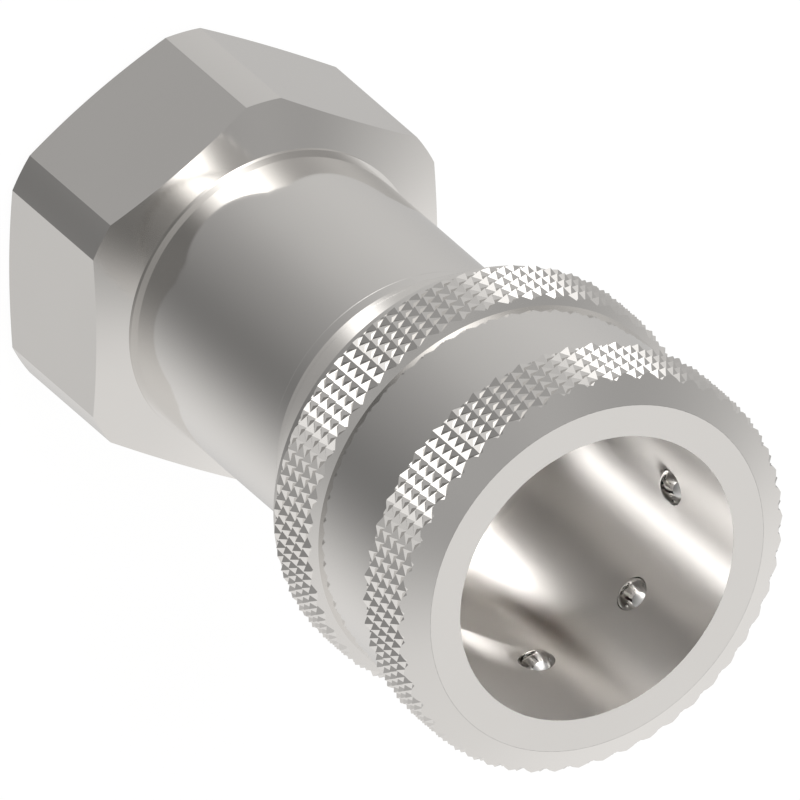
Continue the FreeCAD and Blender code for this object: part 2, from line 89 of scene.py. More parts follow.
class Signal:
    """A socket whose arithmetic adds Math nodes to its tree."""

    def __init__(self, tree: bpy.types.NodeTree, socket: bpy.types.NodeSocket) -> None:
        """Wraps one output socket.

        Args:
            tree: the node tree that holds the socket.
            socket: the output socket.
        """
        self.tree = tree
        self.socket = socket

    def math(self, operation: str, first: object, second: object = None) -> "Signal":
        """One Math node on this tree.

        Args:
            operation: name of the Math node's operation.
            first: number or signal of the first input.
            second: number or signal of the second input, if there is one.

        Returns:
            The node's result.
        """
        node = self.tree.nodes.new("ShaderNodeMath")
        node.operation = operation
        for index, item in enumerate((first, second)):
            if isinstance(item, Signal):
                self.tree.links.new(item.socket, node.inputs[index])
            elif item is not None:
                node.inputs[index].default_value = float(item)
        return Signal(self.tree, node.outputs[0])

    def __add__(self, other: object) -> "Signal":
        """Sum."""
        return self.math("ADD", self, other)

    __radd__ = __add__

    def __sub__(self, other: object) -> "Signal":
        """Difference."""
        return self.math("SUBTRACT", self, other)

    def __rsub__(self, other: object) -> "Signal":
        """Difference from a number."""
        return self.math("SUBTRACT", other, self)

    def __mul__(self, other: object) -> "Signal":
        """Product."""
        return self.math("MULTIPLY", self, other)

    __rmul__ = __mul__

    def __truediv__(self, other: object) -> "Signal":
        """Quotient."""
        return self.math("DIVIDE", self, other)

    def __rtruediv__(self, other: object) -> "Signal":
        """Quotient of a number."""
        return self.math("DIVIDE", other, self)

    def root(self) -> "Signal":
        """Square root."""
        return self.math("SQRT", self)

    def exp(self) -> "Signal":
        """e to the power of this signal."""
        return self.math("EXPONENT", self)

    def at_least(self, floor: float) -> "Signal":
        """The larger of this signal and a number."""
        return self.math("MAXIMUM", self, floor)

    def step(self, low: float, high: float) -> "Signal":
        """Smooth 0 to 1 between two values of this signal.

        Args:
            low: value that gives 0.
            high: value that gives 1.

        Returns:
            The smooth step.
        """
        node = self.tree.nodes.new("ShaderNodeMapRange")
        node.interpolation_type = "SMOOTHSTEP"
        self.tree.links.new(self.socket, node.inputs["Value"])
        node.inputs["From Min"].default_value = low
        node.inputs["From Max"].default_value = high
        return Signal(self.tree, node.outputs["Result"])


class Board:
    """A shader node tree and the one way to add nodes to it."""

    def __init__(self, tree: bpy.types.NodeTree) -> None:
        """Empties the tree and keeps it.

        Args:
            tree: the node tree to fill.
        """
        self.tree = tree
        tree.nodes.clear()

    def node(self, kind: str, settings: Optional[dict] = None, **inputs: object) -> bpy.types.Node:
        """Adds a node.

        Args:
            kind: the node's type.
            settings: attributes set before the inputs.
            inputs: values, signals or sockets by input name, with _ for a blank.

        Returns:
            The new node.
        """
        made = self.tree.nodes.new(kind)
        for name, value in (settings or {}).items():
            setattr(made, name, value)
        for name, value in inputs.items():
            numbered = name.startswith("in") and name[2:].isdigit()
            spot = made.inputs[int(name[2:]) if numbered else name.replace("_", " ")]
            if isinstance(value, Signal):
                self.tree.links.new(value.socket, spot)
            elif isinstance(value, bpy.types.NodeSocket):
                self.tree.links.new(value, spot)
            else:
                spot.default_value = value
        return made

    def signal(self, kind: str, output: Union[str, int], settings: Optional[dict] = None,
               **inputs: object) -> Signal:
        """Adds a node and returns one of its outputs.

        Args:
            kind: the node's type.
            output: name or index of the wanted output.
            settings: attributes set before the inputs.
            inputs: values, signals or sockets by input name.

        Returns:
            The output as a signal.
        """
        return Signal(self.tree, self.node(kind, settings, **inputs).outputs[output])

    def place(self) -> Signal:
        """Object coordinates."""
        return self.signal("ShaderNodeTexCoord", "Object")

    def parts(self, vector: Signal) -> tuple[Signal, Signal, Signal]:
        """The three parts of a vector.

        Args:
            vector: the vector to take apart.

        Returns:
            X, Y and Z.
        """
        cut = self.node("ShaderNodeSeparateXYZ", in0=vector)
        return tuple(Signal(self.tree, cut.outputs[index]) for index in range(3))

    def vector(self, x: object, y: object, z: object) -> Signal:
        """A vector from three parts."""
        return self.signal("ShaderNodeCombineXYZ", 0, in0=x, in1=y, in2=z)

    def noise(self, vector: Signal, scale: float, detail: float = 2.0, roughness: float = 0.5) -> Signal:
        """Noise from 0 to 1.

        Args:
            vector: where it is read.
            scale: how many grains fit in a metre.
            detail: number of octaves.
            roughness: share of each finer octave.

        Returns:
            The noise value.
        """
        return self.signal("ShaderNodeTexNoise", 0, Vector=vector, Scale=scale, Detail=detail,
                           Roughness=roughness)

    def blend(self, factor: Signal, low: Sequence[float], high: Sequence[float]) -> Signal:
        """A colour between two.

        Args:
            factor: 0 for the first colour, 1 for the second.
            low: first colour.
            high: second colour.

        Returns:
            The mixed colour.
        """
        node = self.tree.nodes.new("ShaderNodeMix")
        node.data_type = "RGBA"
        self.tree.links.new(factor.socket, node.inputs[0])
        node.inputs[6].default_value = (*low, 1.0)
        node.inputs[7].default_value = (*high, 1.0)
        return Signal(self.tree, node.outputs[2])


# ---- finishes

class Cut(Enum):
    """Way in which a surface was cut, which sets how its fine marks run."""

    TURNED = "turned"
    GROUND = "ground"
    MOULDED = "moulded"
    DRAWN = "drawn"


@dataclass(frozen=True)
class Bore:
    """Inside of a turned hole, whose round tool marks draw each light out along the axis."""

    radius: float = 11.99 * MM
    bottom: float = 36.0 * MM
    top: float = 63.495 * MM
    roughness: float = 0.38
    stretch: float = 1.0
    turn: float = 0.25
    colour: Place = (0.842, 0.822, 0.799)
    edge: float = 0.05 * MM
    top_edge: float = 0.01 * MM

    def over(self, board: Board, outside: bpy.types.NodeSocket, normal: bpy.types.NodeSocket, radius: Signal,
             z: Signal) -> bpy.types.NodeSocket:
        """Puts the bore's shader over the outside's.

        Args:
            board: the material's nodes.
            outside: shader of the surfaces outside the bore.
            normal: normal with its fine marks.
            radius: distance from the axis.
            z: height along the axis.

        Returns:
            The two shaders, each in its place.
        """
        below_top = 1 - z.step(self.top - self.top_edge, self.top)
        deep = z.step(self.bottom - self.edge, self.bottom) * below_top
        inside = (1 - radius.step(self.radius, self.radius + self.edge)) * deep
        shader = board.node("ShaderNodeBsdfPrincipled", Base_Color=(*self.colour, 1.0), Metallic=1.0,
                            Roughness=self.roughness, Anisotropic=self.stretch,
                            Anisotropic_Rotation=self.turn, Normal=normal)
        return board.node("ShaderNodeMixShader", in0=inside, in1=outside, in2=shader.outputs[0]).outputs[0]


@dataclass(frozen=True)
class Finish:
    """One finish of the coupler's pieces."""

    name: str
    colour: Place
    shade: float
    metallic: float
    roughness: float
    roughness_spread: float
    cut: Cut
    mark_pitch: float
    mark_height: float
    bore: Optional[Bore] = None
    cloud_scale: float = 90.0
    grain_scale: float = 2600.0
    plain_specular: float = 0.4
    soft_scale: float = 250.0
    soft_share: float = 0.25

    def build(self) -> bpy.types.Material:
        """Makes the finish as a material.

        Returns:
            The node material.
        """
        material = bpy.data.materials.new(self.name)
        material.use_nodes = True
        board = Board(material.node_tree)
        place = board.place()
        x, y, z = board.parts(place)
        radius = (x * x + y * y).root()
        cloud = board.noise(place, self.cloud_scale, 3.0)
        grain = board.noise(place, self.grain_scale)
        colour = board.blend(cloud.step(0.25, 0.75), [c * (1 - self.shade) for c in self.colour], self.colour)
        rough = (grain - 0.5) * self.roughness_spread + (cloud - 0.5) * self.roughness_spread
        rough = rough + self.roughness
        height = self.marks(board, place, radius, z)
        bump = board.node("ShaderNodeBump", Strength=1.0, Distance=self.mark_height, Height=height)
        shader = board.node("ShaderNodeBsdfPrincipled", Base_Color=colour, Metallic=self.metallic,
                            Roughness=rough, Normal=bump.outputs[0])
        if not self.metallic:
            shader.inputs["Specular IOR Level"].default_value = self.plain_specular
        surface = shader.outputs[0]
        if self.bore is not None:
            surface = self.bore.over(board, surface, bump.outputs[0], radius, z)
        board.node("ShaderNodeOutputMaterial", Surface=surface)
        return material

    def marks(self, board: Board, place: Signal, radius: Signal, z: Signal) -> Signal:
        """Height of the fine marks that the cut left.

        Args:
            board: the material's nodes.
            place: object coordinates.
            radius: distance from the axis.
            z: height along the axis.

        Returns:
            The height, about 0 to 1.
        """
        if self.cut in (Cut.TURNED, Cut.DRAWN):
            rings = board.vector(radius / self.mark_pitch, 0.0, z / self.mark_pitch)
            lines = board.noise(rings, 1.0, 3.0, 0.6)
            soft = board.noise(place, self.soft_scale, 1.0)
            return lines * (1 - self.soft_share) + soft * self.soft_share
        return board.noise(place, 1.0 / self.mark_pitch)


LAMP_COLOUR = (1.0, 0.985, 0.97)
TURNED_STEEL = ((0.80, 0.787, 0.768), 0.015, 1.0, 0.09, 0.02, Cut.TURNED, 0.05 * MM, 0.00004 * MM)
BODY = Finish("turned_body_steel", *TURNED_STEEL, Bore())
PORT = Finish("turned_port_steel", *TURNED_STEEL)
SLEEVE = Finish("knurled_sleeve_steel", *TURNED_STEEL)
BALL = Finish("polished_ball_steel", (0.78, 0.775, 0.765), 0.01, 1.0, 0.035, 0.01, Cut.GROUND,
              0.1 * MM, 0.00001 * MM)
VALVE = Finish("valve_steel", (0.66, 0.645, 0.62), 0.03, 1.0, 0.22, 0.05, Cut.TURNED, 0.05 * MM, 0.0001 * MM)
SPRING = Finish("drawn_spring_wire", (0.46, 0.45, 0.44), 0.06, 1.0, 0.26, 0.06, Cut.DRAWN,
                0.08 * MM, 0.0002 * MM)
RUBBER = Finish("black_seal_rubber", (0.022, 0.022, 0.024), 0.2, 0.0, 0.5, 0.1, Cut.MOULDED,
                0.12 * MM, 0.003 * MM)
BACKUP = Finish("white_backup_plastic", (0.75, 0.74, 0.71), 0.05, 0.0, 0.42, 0.08, Cut.TURNED,
                0.09 * MM, 0.001 * MM)
BODY_SEAL = Finish("beige_seal_plastic", (0.50, 0.44, 0.34), 0.08, 0.0, 0.45, 0.08, Cut.TURNED,
                   0.09 * MM, 0.001 * MM)


# ---- studio

@dataclass(frozen=True)
class BoreLamp:
    """A far light that shines down into the bore. A negative one stands for a dark card.

    The target of a narrow beam is a point of the bore's wall: its angle in degrees and its height.
    """

    name: str
    around_deg: float
    up_deg: float
    width_deg: float
    strength: float
    target: Optional[Point] = None
    bore_radius: float = 11.75 * MM
    throw: float = 0.2
    size: float = 3.0 * MM
    softness: float = 0.8

    def hang(self, receivers: bpy.types.Collection) -> None:
        """Hangs the lamp: a narrow beam if it has a target on the bore's wall, a round sun if not.

        Args:
            receivers: the pieces that it lights.
        """
        around, up = math.radians(self.around_deg), math.radians(self.up_deg)
        towards = Vector((math.cos(up) * math.cos(around), math.cos(up) * math.sin(around), math.sin(up)))
        aim = Vector()
        data = bpy.data.lights.new(self.name, "SPOT" if self.target else "SUN")
        if self.target:
            wall_deg, height = self.target
            aim = Vector(wheel(self.bore_radius, math.radians(wall_deg), height))
            data.spot_size = math.radians(self.width_deg)
            data.spot_blend = self.softness
            data.shadow_soft_size = self.size
        else:
            data.angle = math.radians(self.width_deg)
        data.energy = self.strength
        data.color = LAMP_COLOUR
        obj = link(self.name, data)
        obj.rotation_mode = "QUATERNION"
        obj.rotation_quaternion = towards.to_track_quat("Z", "Y")
        obj.location = aim + towards * self.throw
        obj.light_linking.receiver_collection = receivers


@dataclass
class Studio:
    """Soft surround, pale floor and the camera at the photograph's angle."""

    surround: float = 0.793
    # Amount, direction and sharpness of each far light, which metal shows as a soft bright or dark field.
    lamps: tuple[tuple[float, Place, float], ...] = (
        (1.283, (0.994, 0.071, -0.083), 10.39),
        (2.6, (0.936, 0.039, 0.349), 21.0),
        (1.412, (0.646, -0.069, 0.760), 30.90),
        (0.597, (0.068, 0.142, 0.988), 22.18),
        (0.933, (-0.586, -0.733, 0.346), 5.97),
        (-0.631, (-0.024, 0.911, 0.411), 3.90),
        (-0.833, (-0.067, 0.765, -0.640), 4.01),
        (1.603, (0.370, -0.023, -0.929), 99.48),
        (0.271, (-0.367, -0.088, 0.926), 8.81),
        (-0.900, (-0.219, -0.896, 0.386), 2.05),
        (0.458, (-0.443, 0.815, -0.373), 1.82),
        (-0.882, (0.951, 0.289, -0.108), 3.75),
        (-0.900, (-0.015, 0.079, 0.997), 17.18),
        (0.480, (0.283, -0.906, 0.316), 10.20),
        (-0.204, (-0.382, -0.380, -0.843), 9.35),
        (-0.025, (0.169, -0.839, 0.517), 40.90),
        (-0.097, (-0.077, -0.537, 0.840), 64.52),
        (0.085, (-0.158, -0.509, 0.846), 19.66),
        (0.078, (-0.570, 0.703, 0.425), 4.04),
        (0.069, (-0.289, -0.574, -0.767), 2.72),
    )
    bore_lamps: tuple[BoreLamp, ...] = (
        BoreLamp("bore_lamp_side", 109.0, 52.0, 10.0, 3.0),
        BoreLamp("bore_shade_front", -14.0, 52.0, 24.0, -1.55),
        BoreLamp("bore_lamp_back", 150.0, 48.0, 16.0, 1.35),
        BoreLamp("bore_glint_deep", -14.0, 66.0, 1.5, 9.0, (200.0, 38.5 * MM)),
        BoreLamp("bore_glint_left", -63.0, 45.0, 1.2, 3.0, (165.0, 48.0 * MM)),
    )
    view_width: float = 60.54 * MM
    mouth_height: float = 63.5 * MM
    shift_right: float = 14.903 * MM
    shift_down: float = 13.495 * MM
    distance: float = 0.4
    floor_reach: float = 1.2
    floor_level: float = -0.02 * MM
    floor_glow: float = 0.93
    floor_pale: float = 0.985
    floor_grey: float = 0.14
    darkest: float = 0.05

    def light(self) -> None:
        """Fills the world with the surround and its soft lamps, and shows white behind the part."""
        world = bpy.data.worlds.new("studio")
        world.use_nodes = True
        bpy.context.scene.world = world
        board = Board(world.node_tree)
        direction = board.signal("ShaderNodeTexCoord", "Generated")
        total: object = self.surround
        for amount, towards, sharpness in self.lamps:
            facing = board.signal("ShaderNodeVectorMath", "Value", {"operation": "DOT_PRODUCT"},
                                  in0=direction, in1=towards)
            total = ((facing - 1) * sharpness).exp() * amount + total
        soft = board.node("ShaderNodeBackground", Color=(*LAMP_COLOUR, 1.0),
                          Strength=total.at_least(self.darkest))
        plain = board.node("ShaderNodeBackground", Color=(1.0, 1.0, 1.0, 1.0), Strength=1.0)
        seen = board.signal("ShaderNodeLightPath", "Is Camera Ray")
        mix = board.node("ShaderNodeMixShader", in0=seen, in1=soft.outputs[0], in2=plain.outputs[0])
        board.node("ShaderNodeOutputWorld", Surface=mix.outputs[0])

    def light_bore(self, pieces: Sequence[bpy.types.Object]) -> None:
        """Hangs the lamps of the bore.

        Args:
            pieces: the objects that these lamps light.
        """
        receivers = bpy.data.collections.new("lit_by_bore_lamps")
        for piece in pieces:
            receivers.objects.link(piece)
        for lamp in self.bore_lamps:
            lamp.hang(receivers)

    def floor(self) -> None:
        """A pale floor with a faint shadow, which metal doesn't show."""
        mesh = bpy.data.meshes.new("floor")
        signs = ((-1, -1), (1, -1), (1, 1), (-1, 1))
        corners = [(x * self.floor_reach, y * self.floor_reach, self.floor_level) for x, y in signs]
        mesh.from_pydata(corners, [], [(0, 1, 2, 3)])
        obj = link("floor", mesh)
        material = bpy.data.materials.new("pale_floor")
        material.use_nodes = True
        board = Board(material.node_tree)
        tone = board.blend(board.noise(board.place(), 40.0), (self.floor_pale,) * 3, (1.0, 1.0, 1.0))
        glow = board.node("ShaderNodeEmission", Color=tone, Strength=self.floor_glow)
        matt = board.node("ShaderNodeBsdfDiffuse", Color=(*(self.floor_grey,) * 3, 1.0))
        both = board.node("ShaderNodeAddShader", in0=glow.outputs[0], in1=matt.outputs[0])
        board.node("ShaderNodeOutputMaterial", Surface=both.outputs[0])
        mesh.materials.append(material)
        obj.visible_glossy = False
        obj.visible_diffuse = False
        obj.visible_shadow = False

    def camera(self) -> None:
        """The parallel camera that looks down on the mouth."""
        right = Vector((0.0, -0.8660254, 0.5))
        up = Vector((0.8660254, -0.25, -0.4330127))
        back = Vector((0.5, 0.4330127, 0.75))
        data = bpy.data.cameras.new("camera")
        data.type = "ORTHO"
        data.ortho_scale = self.view_width
        data.clip_start = 0.01
        data.clip_end = 5.0
        obj = link("camera", data)
        centre = Vector((0, 0, self.mouth_height)) - right * self.shift_right + up * self.shift_down
        turn = Matrix((right, up, back)).transposed().to_4x4()
        obj.matrix_world = Matrix.Translation(centre + back * self.distance) @ turn
        bpy.context.scene.camera = obj


# ---- mesh helpers

@dataclass
class Shell:
    """Vertices, faces and corner normals of a mesh that is being gathered."""

    points: list[Place] = field(default_factory=list)
    faces: list[tuple[int, ...]] = field(default_factory=list)
    normals: list[list[Place]] = field(default_factory=list)
    cell: float = 4e-6
    near: float = 5e-7

    def add_point(self, x: float, y: float, z: float) -> int:
        """Adds a vertex and returns its number."""
        self.points.append((x, y, z))
        return len(self.points) - 1

    def weld_point(self, place: Vector, known: dict[tuple[int, ...], int]) -> int:
        """The vertex at a place, made where none of the known ones coincides with it."""
        for signs in product((-1, 1), repeat=3):
            key = tuple(round((part + sign * self.near) / self.cell) for part, sign in zip(place, signs))
            if key in known:
                return known[key]
        key = tuple(round(part / self.cell) for part in place)
        known[key] = self.add_point(*place)
        return known[key]

    def add_face(self, corners: Sequence[int], normals: Optional[Sequence[Vector]] = None) -> None:
        """Adds a face.

        Args:
            corners: vertex numbers, anticlockwise from outside.
            normals: one normal for each corner, or None for a flat face.
        """
        if len(set(corners)) < 3:
            return
        self.faces.append(tuple(corners))
        self.normals.append([tuple(n) for n in normals] if normals else [(0.0, 0.0, 0.0)] * len(corners))

    def finish(self, name: str, material: bpy.types.Material) -> bpy.types.Object:
        """Makes the object.

        Args:
            name: the piece's name.
            material: its finish.

        Returns:
            The linked object, at the origin.
        """
        mesh = bpy.data.meshes.new(name)
        mesh.from_pydata(self.points, [], self.faces)
        mesh.materials.append(material)
        mesh.polygons.foreach_set("use_smooth", [True] * len(mesh.polygons))
        mesh.update()
        flat = []
        for polygon, given in zip(mesh.polygons, self.normals):
            own = tuple(polygon.normal)
            flat.extend(own if n == (0.0, 0.0, 0.0) else n for n in given)
        mesh.normals_split_custom_set(flat)
        log.info("%s: %d faces", name, len(mesh.polygons))
        return link(name, mesh)

    def join(self, low: list[int], high: list[int], low_normals: Sequence[Vector],
             high_normals: Sequence[Vector]) -> None:
        """Joins two rings that run anticlockwise with one face for each step.

        Args:
            low: the first ring's vertices, with the second ring on its left seen from outside.
            high: the second ring's vertices.
            low_normals: normal at each vertex of the first ring.
            high_normals: normal at each vertex of the second ring.
        """
        for index in range(len(low)):
            after = (index + 1) % len(low)
            self.add_face((low[index], low[after], high[after], high[index]),
                          [low_normals[index], low_normals[after], high_normals[after], high_normals[index]])

    def add_band(self, low: list[int], high: list[int], angles: Sequence[float], outward: float,
                 upward: float) -> None:
        """Joins two rings with faces that share one slope.

        Args:
            low: the first ring's vertices.
            high: the second ring's vertices.
            angles: angle of each vertex about the axis.
            outward: radial part of the normal.
            upward: axial part of the normal.
        """
        slopes = [lean(angle, outward, upward) for angle in angles]
        self.join(low, high, slopes, slopes)

    def add_turned(self, outline: Sequence[Point], angles: Sequence[float]) -> tuple[list[int], list[int]]:
        """Turns an open outline about the axis. Outside lies on the outline's right.

        Args:
            outline: points as radius and height.
            angles: angle of each column.

        Returns:
            The first and the last ring.
        """
        rings = [[self.add_point(*wheel(radius, angle, z)) for angle in angles] for radius, z in outline]
        for index in range(len(outline) - 1):
            dr = outline[index + 1][0] - outline[index][0]
            dz = outline[index + 1][1] - outline[index][1]
            size = math.hypot(dr, dz)
            self.add_band(rings[index], rings[index + 1], angles, dz / size, -dr / size)
        return rings[0], rings[-1]

    def stitch(self, low: list[int], high: list[int], outward: float, upward: float) -> None:
        """Joins two rings whose vertices stand at different angles with triangles.

        Args:
            low: the lower ring, in order of angle.
            high: the upper ring, in order of angle.
            outward: radial part of the normal.
            upward: axial part of the normal.
        """
        def angle_of(ring: list[int], index: int) -> float:
            """Angle of a ring's vertex, which grows by a full turn each time round."""
            x, y, _ = self.points[ring[index % len(ring)]]
            return math.atan2(y, x) % TURN + TURN * (index // len(ring))

        first, second = 0, 0
        while first < len(low) or second < len(high):
            low_next = first < len(low) and angle_of(low, first + 1) < angle_of(high, second + 1)
            a, b = low[first % len(low)], high[second % len(high)]
            if second >= len(high) or low_next:
                first += 1
                corners = (a, low[first % len(low)], b)
            else:
                second += 1
                corners = (a, high[second % len(high)], b)
            turns = [math.atan2(self.points[v][1], self.points[v][0]) for v in corners]
            self.add_face(corners, [lean(turn, outward, upward) for turn in turns])


def metres(*outline: Point) -> tuple[Point, ...]:
    """Points given in millimetres, in metres."""
    return tuple((radius * MM, z * MM) for radius, z in outline)


def wheel(radius: float, angle: float, z: float) -> Place:
    """A point from its distance to the axis, angle and height."""
    return (radius * math.cos(angle), radius * math.sin(angle), z)


def lean(angle: float, outward: float, upward: float) -> Vector:
    """A normal from its outward and upward parts at an angle about the axis."""
    return Vector((outward * math.cos(angle), outward * math.sin(angle), upward)).normalized()


def even_angles(count: int) -> list[float]:
    """Evenly spaced angles round a full turn."""
    return [TURN * index / count for index in range(count)]


# ---- port body

@dataclass
class PortThread:
    """Right-handed parallel pipe thread of the port."""

    crest: float = 9.316 * MM
    root: float = 10.478 * MM
    pitch: float = 1.814 * MM
    fade_start: float = 11.2 * MM
    fade_end: float = 12.6 * MM
    rows_per_turn: int = 18
    flank_gain: float = 1.3

    def radius(self, angle: float, z: float) -> float:
        """Radius of the threaded wall.

        Args:
            angle: angle about the axis.
            z: height.

        Returns:
            The radius, which the chamfer at the port face bounds.
        """
        turn = (z / self.pitch - angle / TURN) % 1.0
        wave = 1 - 4 * abs(turn - 0.5)
        flank = math.sin(math.pi / 2 * max(-1.0, min(1.0, self.flank_gain * wave)))
        share = max(0.0, min(1.0, (self.fade_end - z) / (self.fade_end - self.fade_start)))
        share = share * share * (3 - 2 * share)
        cut = self.crest + (self.root - self.crest) * (0.5 + 0.5 * flank) * share
        return max(cut, self.root - z)

    def normal(self, angle: float, z: float) -> Vector:
        """Normal of the threaded wall, towards the axis."""
        small, tiny = 0.01 * MM, 0.001
        rise = (self.radius(angle, z + small) - self.radius(angle, z - small)) / (2 * small)
        swing = self.radius(angle + tiny, z) - self.radius(angle - tiny, z)
        swing = swing / (2 * tiny * self.radius(angle, z))
        side = Vector((-math.sin(angle), math.cos(angle), 0.0))
        return (Vector((-math.cos(angle), -math.sin(angle), rise)) + side * swing).normalized()


@dataclass
class PortBody:
    """Rear body: hexagon with the port's thread, valve chamber and plain neck."""

    flat_distance: float = 14.9 * MM
    corner_radius: float = 16.4 * MM
    hex_front: float = 13.06 * MM
    hex_rear: float = 0.83 * MM
    chamfer_slope: float = 0.3205
    port_depth: float = 14.0 * MM
    flat_steps: int = 28
    corner_steps: int = 8
    outside: tuple[Point, ...] = metres(
        (12.5, 14.31), (12.5, 14.63), (12.2, 14.63), (12.2, 35.27), (12.17, 35.3), (10.65, 35.3),
        (10.65, 27.1), (8.8, 27.1), (8.8, 15.0), (7.6, 15.0), (7.6, 14.0), (9.316, 14.0))
    thread: PortThread = field(default_factory=PortThread)

    def angles(self) -> list[float]:
        """Angle of each column, with one at each edge of the flats."""
        half = math.acos(self.flat_distance / self.corner_radius)
        corner = math.pi / 3 - 2 * half
        found = []
        for flat in range(6):
            middle = math.pi / 6 + flat * math.pi / 3
            found += [middle - half + 2 * half * step / self.flat_steps for step in range(self.flat_steps)]
            found += [middle + half + corner * step / self.corner_steps for step in range(self.corner_steps)]
        return [angle % TURN for angle in found]

    def reach(self, angle: float) -> float:
        """Distance from the axis to the hexagon's side."""
        off = (angle % (math.pi / 3)) - math.pi / 6
        return min(self.corner_radius, self.flat_distance / math.cos(off))

    def build(self, material: bpy.types.Material) -> bpy.types.Object:
        """Makes the whole rear body as one closed piece.

        Args:
            material: its finish.

        Returns:
            The rear body.
        """
        shell = Shell()
        angles = self.angles()
        size = math.hypot(1.0, self.chamfer_slope)
        reaches = [self.reach(angle) for angle in angles]
        base = self.corner_radius - self.hex_rear / self.chamfer_slope
        bottom = [shell.add_point(*wheel(r, a, (r - base) * self.chamfer_slope))
                  for r, a in zip(reaches, angles)]
        top = [shell.add_point(*wheel(r, a, self.hex_front + (self.corner_radius - r) * self.chamfer_slope))
               for r, a in zip(reaches, angles)]
        foot = [shell.add_point(*wheel(base, a, 0.0)) for a in angles]
        shell.add_band(foot, bottom, angles, self.chamfer_slope / size, -1 / size)
        self.add_sides(shell, bottom, top, angles)
        neck, shelf = shell.add_turned(self.outside, angles)
        shell.add_band(top, neck, angles, self.chamfer_slope / size, 1 / size)
        mouth = self.add_thread(shell, shelf, angles)
        shell.add_band(mouth, foot, angles, 0.0, -1.0)
        return shell.finish("hexagon_port_body", material)

    def add_sides(self, shell: Shell, low: list[int], high: list[int], angles: Sequence[float]) -> None:
        """Adds the flats and the round corners between them.

        Args:
            shell: the mesh that is gathered.
            low: the lower edge.
            high: the upper edge.
            angles: angle of each column.
        """
        for index in range(len(angles)):
            after = (index + 1) % len(angles)
            corners = (low[index], low[after], high[after], high[index])
            flat, step = divmod(index, self.flat_steps + self.corner_steps)
            if step < self.flat_steps:
                middle = math.pi / 6 + flat * math.pi / 3
                turns = [middle] * 4
            else:
                turns = [angles[index], angles[after], angles[after], angles[index]]
            shell.add_face(corners, [lean(turn, 1.0, 0.0) for turn in turns])

    def add_thread(self, shell: Shell, shelf: list[int], angles: Sequence[float]) -> list[int]:
        """Adds the port's threaded wall from its bottom to the face.

        Args:
            shell: the mesh that is gathered.
            shelf: the ring at the port's bottom.
            angles: angle of each column.

        Returns:
            The ring at the port face.
        """
        rows = int(self.port_depth / self.thread.pitch * self.thread.rows_per_turn)
        heights = [self.port_depth * (1 - row / rows) for row in range(rows + 1)]
        above, above_normals = shelf, [lean(a, -1.0, 0.0) for a in angles]
        for z in heights[1:]:
            ring = [shell.add_point(*wheel(self.thread.radius(a, z), a, z)) for a in angles]
            normals = [self.thread.normal(a, max(z, 0.02 * MM)) for a in angles]
            shell.join(above, ring, above_normals, normals)
            above, above_normals = ring, normals
        return above


# ---- geometry nodes

def open_group(name: str, inputs: dict[str, str]) -> tuple[Board, dict[str, Signal]]:
    """Starts a geometry node tree.

    Args:
        name: the tree's name.
        inputs: kind of each input by its name.

    Returns:
        The tree's board, and its inputs as signals by name.
    """
    tree = bpy.data.node_groups.new(name, "GeometryNodeTree")
    tree.interface.new_socket("Geometry", in_out="INPUT", socket_type="NodeSocketGeometry")
    for label, kind in inputs.items():
        tree.interface.new_socket(label, in_out="INPUT", socket_type="NodeSocket" + kind)
    tree.interface.new_socket("Geometry", in_out="OUTPUT", socket_type="NodeSocketGeometry")
    board = Board(tree)
    start = board.node("NodeGroupInput")
    return board, {item.name: Signal(tree, item) for item in start.outputs if item.name}


def close_group(board: Board, geometry: bpy.types.NodeSocket, material: Signal) -> bpy.types.GeometryNodeTree:
    """Ends a geometry node tree with real faces that have a finish.

    Args:
        board: the tree's board.
        geometry: what the tree made.
        material: its finish.

    Returns:
        The finished tree.
    """
    real = board.node("GeometryNodeRealizeInstances", Geometry=geometry)
    dressed = board.node("GeometryNodeSetMaterial", Geometry=real.outputs[0], Material=material)
    end = board.node("NodeGroupOutput")
    board.tree.links.new(dressed.outputs[0], end.inputs[0])
    return board.tree


def run_group(name: str, tree: bpy.types.GeometryNodeTree, given: dict[str, object]) -> bpy.types.Object:
    """Runs a geometry node tree and keeps its result as a plain mesh.

    Args:
        name: the object's name.
        tree: the finished tree.
        given: value of each input by its name.

    Returns:
        The linked object.
    """
    carrier = link(name, bpy.data.meshes.new(name))
    modifier = carrier.modifiers.new(name, "NODES")
    modifier.node_group = tree
    for item in tree.interface.items_tree:
        if item.item_type == "SOCKET" and item.in_out == "INPUT" and item.name in given:
            modifier[item.identifier] = given[item.name]
    bpy.context.view_layer.update()
    graph = bpy.context.evaluated_depsgraph_get()
    mesh = bpy.data.meshes.new_from_object(carrier.evaluated_get(graph))
    carrier.modifiers.remove(modifier)
    carrier.data = mesh
    return carrier


# ---- sleeve

